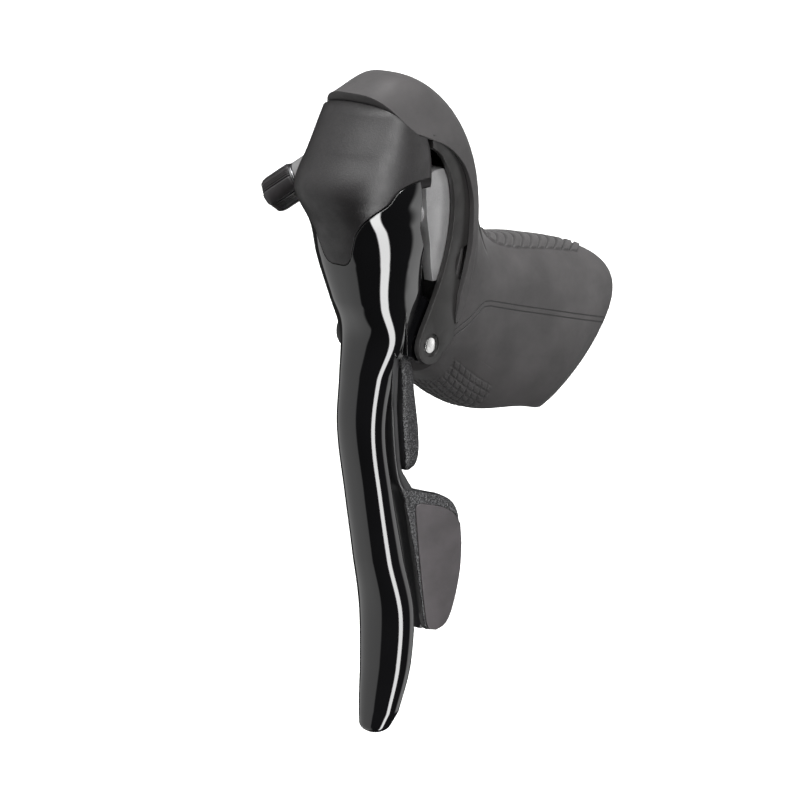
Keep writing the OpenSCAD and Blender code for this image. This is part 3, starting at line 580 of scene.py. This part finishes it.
def lever_slices(z):
    """Values of the lever's table at each height z."""
    heights = np.array([r[0] for r in LEVER], float)
    i = np.clip(np.searchsorted(-heights, -np.asarray(z, float), "right") - 1, 0, len(LEVER) - 2)
    return along(LEVER, i + (heights[i] - z) / (heights[i] - heights[i + 1]))


def lever_rings(z, sides=240, inset=0.0, extra_back=0.0, scale=1.0):
    """Level rings of the lever at each height z, drawn in by inset and reaching back extra_back."""
    z = np.asarray(z, float)
    k = lever_slices(z)
    a = np.radians(-np.arange(sides) * 360 / sides)[None, :]
    front = np.cos(a) >= 0
    depth = (np.where(front, k[:, 2:3], k[:, 3:4] + extra_back) - inset) * np.reshape(scale, (-1, 1))
    p = np.where(front, FRONT_SQUARE, BACK_SQUARE)
    width = (k[:, 4:5] - inset) * np.reshape(scale, (-1, 1))
    x = k[:, 1:2] + depth * spow(np.cos(a), p)
    y = k[:, 5:6] + width * spow(np.sin(a), p)
    return np.stack([x, y, np.broadcast_to(z[:, None], x.shape)], -1)


def plate_outline(g):
    """Front outline of the name plate, grown by g."""
    edge = np.array(PLATE_EDGE)
    side = np.where(edge[:, 0] > 4, 0.7, np.where(edge[:, 0] > 2.7, 0.5, 0))
    right = edge + g * np.stack([side, np.full(len(edge), -1)], -1)
    left = (right * [-1, 1])[:0:-1]
    return right.tolist() + [[20, 80], [-20, 80]] + left.tolist()


def adjuster_hole():
    return rod(4.45, -30, -4, "z", matrix=AT_ADJUSTER)


def make_lever():
    turn = np.radians(np.linspace(0, 80, 9)[1:])
    tip = -91 - 2 * np.sin(turn)
    z = np.concatenate([np.linspace(57, -91, 300), tip])
    scale = np.concatenate([np.ones(300), 1 - 0.75 * (1 - np.cos(turn))])
    lever = loft("lever", lever_rings(z, scale=scale))
    inner = np.linspace(60, 5, 56)
    combine(lever, [loft("cutter", lever_rings(inner, 120, HEAD_WALL, 25)),
                    box((50, -EAR_IN, -4), (68.9, EAR_IN, 23)),
                    slab(HEAD_FLANK, -30, 30)])
    ear = arc(PIVOT, 4.8, 200, 320) + [[66.5, 10], [67, 24], [62, 26], [57.5, 22]]
    combine(lever, [slab(ear, -EAR_OUT, -EAR_IN), slab(ear, EAR_IN, EAR_OUT)], "UNION")
    cutters = [slab(plate_outline(0.25), 60, 100, "x"), rod(3, -20, 20, "y", PIVOT), adjuster_hole()]
    for low in range(-78, 14, 13):
        k = lever_slices([low + 5.25])[0]
        pocket = np.array([[-8, -k[4] + 2.4], [1, -k[4] + 2.4], [1, k[4] - 2.4], [-8, k[4] - 2.4]])
        pocket += [k[1], k[5]]
        cutters.append(slab(pocket, low, low + 10.5, "z"))
    combine(lever, cutters)
    return piece(lever, "lever_body", "lever", "brake_lever", "gloss_black", 30)


def make_plate():
    plate = loft("plate", lever_rings(np.linspace(79, 33, 120)))
    combine(plate, [loft("cutter", lever_rings(np.linspace(79.5, 32, 64), 120, PLATE_WALL, 20))])
    combine(plate, [slab(plate_outline(0), PLATE_BACK, 100, "x"), front_of_rim(0.4)], "INTERSECT")
    combine(plate, [rod(1.25, 70, 82, "x", (0, 42.4)), adjuster_hole()])
    return piece(plate, "name_plate_cover", "lever", "name_plate", "grained_black", 30)


# ---------- paddles ----------

# Level slices of the release paddle's blade: height, x at the back and front, middle y, half
# thickness; and of the pull paddle's stem: height, middle x, half depth, middle y, half thickness.
RELEASE = [
    [9, 62.3, 65.4, 7, 1.2], [4, 60.6, 65.2, 6.6, 2], [-1, 60, 64.9, 6.1, 2.5], [-7, 58.9, 64.8, 5.9, 2.7],
    [-13, 58.2, 64.3, 5.9, 2.8], [-18, 58.1, 63.8, 5.9, 2.7], [-21, 59, 63.2, 5.9, 2.3],
    [-22.4, 60.6, 62.4, 5.9, 1.4],
]
PULL = [
    [2, 67, 1.1, 6, 1.3], [-6, 66.7, 1.2, 5.8, 1.5], [-14, 66.2, 1.3, 5.5, 1.9], [-21, 65.5, 1.3, 5.3, 2.3],
    [-25, 63.8, 2, 5.2, 2.6], [-29, 61.6, 2.2, 5.2, 2.7], [-38, 59.6, 1.8, 5.2, 2.6],
    [-48.5, 57.6, 1.7, 5.3, 2.5], [-58, 56.3, 1.6, 5.4, 2.4], [-67.4, 55.6, 1.4, 5.5, 2.1],
]
PAD_OUTLINE = (
    smooth([[4.6, -67.4], [3.6, -65.3], [2.5, -57], [1.2, -48.5], [-0.8, -38], [-2.3, -31], [-2.6, -27.4]])
    + smooth([[-1, -27.2], [1.1, -28.1], [5.6, -29.7], [10, -31.3], [12.8, -33.5], [14.4, -36.8],
              [14.8, -40.5]])
    + smooth([[14.9, -45], [14.5, -52], [13.2, -58.8], [11.8, -64], [9.8, -66.6], [7, -67.6]]))
RUBBER_OUTLINE = (
    smooth([[5.2, -67.4], [4.2, -64.8], [2.9, -55], [1.9, -45.4], [0.9, -34], [1.2, -32.2]])
    + smooth([[2.4, -31.9], [6, -33], [10, -34.4], [13, -36.6], [15, -39.6]])
    + smooth([[15.4, -45], [15, -52], [13.6, -59], [11.9, -64.2], [10, -66.9], [7.4, -67.9]]))


def blade_rings(table, square, count=160, sides=96):
    """Rings of a paddle from its table, squared off by square."""
    k = along(table, np.linspace(0, len(table) - 1, count))
    if table is RELEASE:
        middle, depth = (k[:, 1:2] + k[:, 2:3]) / 2, (k[:, 2:3] - k[:, 1:2]) / 2
    else:
        middle, depth = k[:, 1:2], k[:, 2:3]
    a = np.radians(-np.arange(sides) * 360 / sides)[None, :]
    x = middle + depth * spow(np.cos(a), square)
    y = k[:, 3:4] + k[:, 4:5] * spow(np.sin(a), square)
    return np.stack([x, y, np.broadcast_to(k[:, 0:1], x.shape)], -1)


def make_release_paddle():
    x0, x1 = RELEASE_X
    stem = [[-5, 56], [5, 56], [6.4, 40], [8.3, 14], [8.4, 6], [5.6, 6], [5.6, 14], [1.5, 40]]
    paddle = loft("paddle", blade_rings(RELEASE, 0.5))
    combine(paddle, [rod(6, x0, x1, "x", (0, AXLE_Z)), slab(stem, x0, x1, "x")], "UNION")
    combine(paddle, [rod(3.05, 60, 80, "x", (0, AXLE_Z))])
    x, y, z = coordinates(paddle).T
    middle = np.interp(-z, [-r[0] for r in RELEASE], [r[3] + r[4] * 0.72 for r in RELEASE])
    mark(paddle, "grain", ease(y, middle - 0.15, middle + 0.1) * ease(-z, -9, -7))
    return piece(paddle, "release_paddle_blade", "release", "release_paddle", "paddle_black")


def make_pull_paddle():
    x0, x1 = PULL_X
    stem = [[-5, 56], [2, 60], [6, 66.2], [11.5, 66], [11.5, 61], [5, 56], [5.2, 40], [8, 14],
            [7.2, -4], [4.4, -4], [5.4, 14], [1, 40]]
    paddle = loft("paddle", blade_rings(PULL, 0.5, 200))
    combine(paddle, [rod(6, x0, x1, "x", (0, AXLE_Z)), slab(stem, x0, x1, "x"),
                     slab(PAD_OUTLINE, -2, 1.4, "z", edge=0.5, matrix=AT_PAD)], "UNION")
    combine(paddle, [slab(grown(np.array(RUBBER_OUTLINE), 0.12), 0, 10, "z", matrix=AT_PAD),
                     rod(3.05, 60, 80, "x", (0, AXLE_Z)), rod(1.02, 67.2, 80, "x", (8.8, 63.6))])
    local = placed(coordinates(paddle), AT_PAD.inverted())
    mark(paddle, "grain", ease(local[:, 2], 0.7, 1.2) * ease(-local[:, 1], 26, 28.5))
    return piece(paddle, "pull_paddle_blade", "pull", "pull_paddle", "paddle_black")


def make_pull_pad():
    pad = slab(RUBBER_OUTLINE, 0.1, 1.6, "z", edge=0.45, matrix=AT_PAD, name="pad")
    return piece(pad, "pull_paddle_pad", "pull", "pull_pad", "pad_rubber")


# ---------- barrel adjuster ----------

def make_knob():
    """Lobed knob with fine flutes between its four lobes."""
    sides = 288
    a = np.radians(np.arange(sides) * 360 / sides)
    lobe = ease(np.abs(((a * 2 / math.pi + 0.5) % 1) - 0.5), 0.22, 0.27)
    flute = 0.24 * np.cos(a * 44) * lobe
    outer = KNOB_R - 0.05 - 0.55 * lobe + np.minimum(flute, 0.1)
    half = KNOB_LEN / 2
    chamfer = [(0.9, -half), (0.25, -half + 0.35), (0, -half + 0.9), (0, half - 2.2), (0.12, half - 1.2),
               (0.5, half - 0.4), (1.1, half)]
    rings = [np.stack([(outer - cut) * np.cos(a), (outer - cut) * np.sin(a), np.full(sides, h)], -1)
             for cut, h in chamfer]
    knob = loft("knob", rings, AT_ADJUSTER)
    combine(knob, [rod(2.52, -20, 20, "z", matrix=AT_ADJUSTER), rod(3.32, 1.9, 20, "z", matrix=AT_ADJUSTER)])
    return piece(knob, "adjuster_grip", "adjuster", "adjuster_knob", "knob_plastic", 28)


# ---------- carried-over CAD nodes ----------

EDGE_WIDTH = {"bracket_body": 0.22, "shift_housing": 1.1, "adjuster_boss": 0.3, "clamp_nut": 0.25}


def dress_cad_nodes():
    """Gives each CAD node its material, and rounds its edges where it has hard ones."""
    for name, obj in nodes.items():
        for slot in obj.material_slots:
            slot.material = finish(slot.material.name.split(".")[0])
        obj.data.polygons.foreach_set("use_smooth", [True] * len(obj.data.polygons))
        weld = obj.modifiers.new("weld", "WELD")
        weld.merge_threshold = 0.002 * MM
        bevel = obj.modifiers.new("edges", "BEVEL")
        bevel.width = EDGE_WIDTH.get(name, 0.12) * MM
        bevel.segments = 3
        bevel.limit_method, bevel.angle_limit = "ANGLE", math.radians(32)
        bevel.harden_normals = True


# ---------- studio ----------

AIM = Vector((56.5, 0, -6)) * MM
CAMERA_AZIMUTH, CAMERA_ELEVATION, CAMERA_DISTANCE, CAMERA_LENS = 41, 16, 0.87, 150
FLOOR_DROP, FLOOR_SIZE = 0.25, 6.0


def direction(azimuth, elevation):
    a, e = math.radians(azimuth), math.radians(elevation)
    return Vector((math.cos(a) * math.cos(e), math.sin(a) * math.cos(e), math.sin(e)))


def make_camera():
    camera = bpy.data.objects.new("camera", bpy.data.cameras.new("camera"))
    bpy.context.scene.collection.objects.link(camera)
    towards = direction(CAMERA_AZIMUTH, CAMERA_ELEVATION)
    camera.location = AIM + towards * CAMERA_DISTANCE
    camera.rotation_euler = towards.to_track_quat("Z", "Y").to_euler()
    camera.data.lens = CAMERA_LENS
    camera.data.clip_start, camera.data.clip_end = 0.01, 50
    bpy.context.scene.camera = camera


# Soft boxes: azimuth, elevation, half width, half height and soft edge in degrees, brightness.
SOFT_BOXES = [
    (-57, -10, 36, 50, 5, 0.72),    # broad white wall, inboard
    (70, -12, 11, 62, 4, 11.0),     # strip that runs down the lever's outboard corner
    (10, 72, 34, 20, 14, 4.2),      # overhead
    (30, 82, 9, 9, 6, 30.0),        # small lamp for the sheen on the horn
    (143, 6, 13, 42, 8, 1.3),       # outboard fill
]
AMBIENT = 0.035


def make_world():
    """White to the camera, and a studio of soft boxes to everything else."""
    world = bpy.data.worlds.new("studio")
    bpy.context.scene.world = world
    world.use_nodes = True
    tree = world.node_tree
    tree.nodes.clear()

    def add(kind, operation=None, *inputs):
        node = tree.nodes.new("ShaderNode" + kind)
        if operation:
            node.operation = operation
        for socket, value in zip(node.inputs, inputs):
            if isinstance(value, bpy.types.NodeSocket):
                tree.links.new(value, socket)
            elif value is not None:
                socket.default_value = value
        return node.outputs["Value"] if "Value" in node.outputs and kind != "MapRange" else node.outputs[0]

    view = add("TexCoord")
    view = view.node.outputs["Generated"]
    total = AMBIENT
    for azimuth, elevation, wide, high, soft, brightness in SOFT_BOXES:
        centre = direction(azimuth, elevation)
        side = direction(azimuth + 90, 0)
        up = centre.cross(side)
        ahead = add("VectorMath", "DOT_PRODUCT", view, centre)
        part = add("Math", "GREATER_THAN", ahead, 0.02)
        for axis, half in ((side, wide), (up, high)):
            off = add("VectorMath", "DOT_PRODUCT", view, axis)
            angle = add("Math", "ARCTAN2", off, ahead)
            angle = add("Math", "ABSOLUTE", angle)
            edge = tree.nodes.new("ShaderNodeMapRange")
            edge.interpolation_type = "SMOOTHSTEP"
            tree.links.new(angle, edge.inputs[0])
            for socket, value in zip(edge.inputs[1:5], (math.radians(half - soft / 2),
                                                        math.radians(half + soft / 2), 1, 0)):
                socket.default_value = value
            part = add("Math", "MULTIPLY", part, edge.outputs[0])
        part = add("Math", "MULTIPLY", part, brightness)
        total = add("Math", "ADD", part, total)
    studio = tree.nodes.new("ShaderNodeBackground")
    tree.links.new(total, studio.inputs["Strength"])
    white = tree.nodes.new("ShaderNodeBackground")
    white.inputs["Color"].default_value = (1, 1, 1, 1)
    studio.inputs["Color"].default_value = (1, 1, 1, 1)
    path = tree.nodes.new("ShaderNodeLightPath")
    mix = tree.nodes.new("ShaderNodeMixShader")
    tree.links.new(path.outputs["Is Camera Ray"], mix.inputs[0])
    tree.links.new(studio.outputs[0], mix.inputs[1])
    tree.links.new(white.outputs[0], mix.inputs[2])
    out = tree.nodes.new("ShaderNodeOutputWorld")
    tree.links.new(mix.outputs[0], out.inputs[0])


def make_floor():
    low, _ = cad_box
    height = low.z - FLOOR_DROP
    half = FLOOR_SIZE / 2
    mesh = bpy.data.meshes.new("floor")
    corners = ((-half, -half), (half, -half), (half, half), (-half, half))
    mesh.from_pydata([(x, y, height) for x, y in corners], [], [(0, 1, 2, 3)])
    floor = new_object("floor", mesh)
    s = Shader("pale_floor")
    tint = s.blend(s.ranged(s.noise(60, 3.0), 0.3, 0.7), (0.9, 0.9, 0.9), (0.94, 0.94, 0.94))
    s.set(s.surface, Base_Color=tint, Roughness=0.8)
    mesh.materials.append(s.material)
    floor.visible_glossy = floor.visible_diffuse = False


dress_cad_nodes()
make_hood()
make_lever()
make_plate()
make_release_paddle()
make_pull_paddle()
make_pull_pad()
make_knob()
make_camera()
make_world()
make_floor()
bpy.context.scene.view_settings.view_transform = "Standard"

bpy.context.view_layer.update()
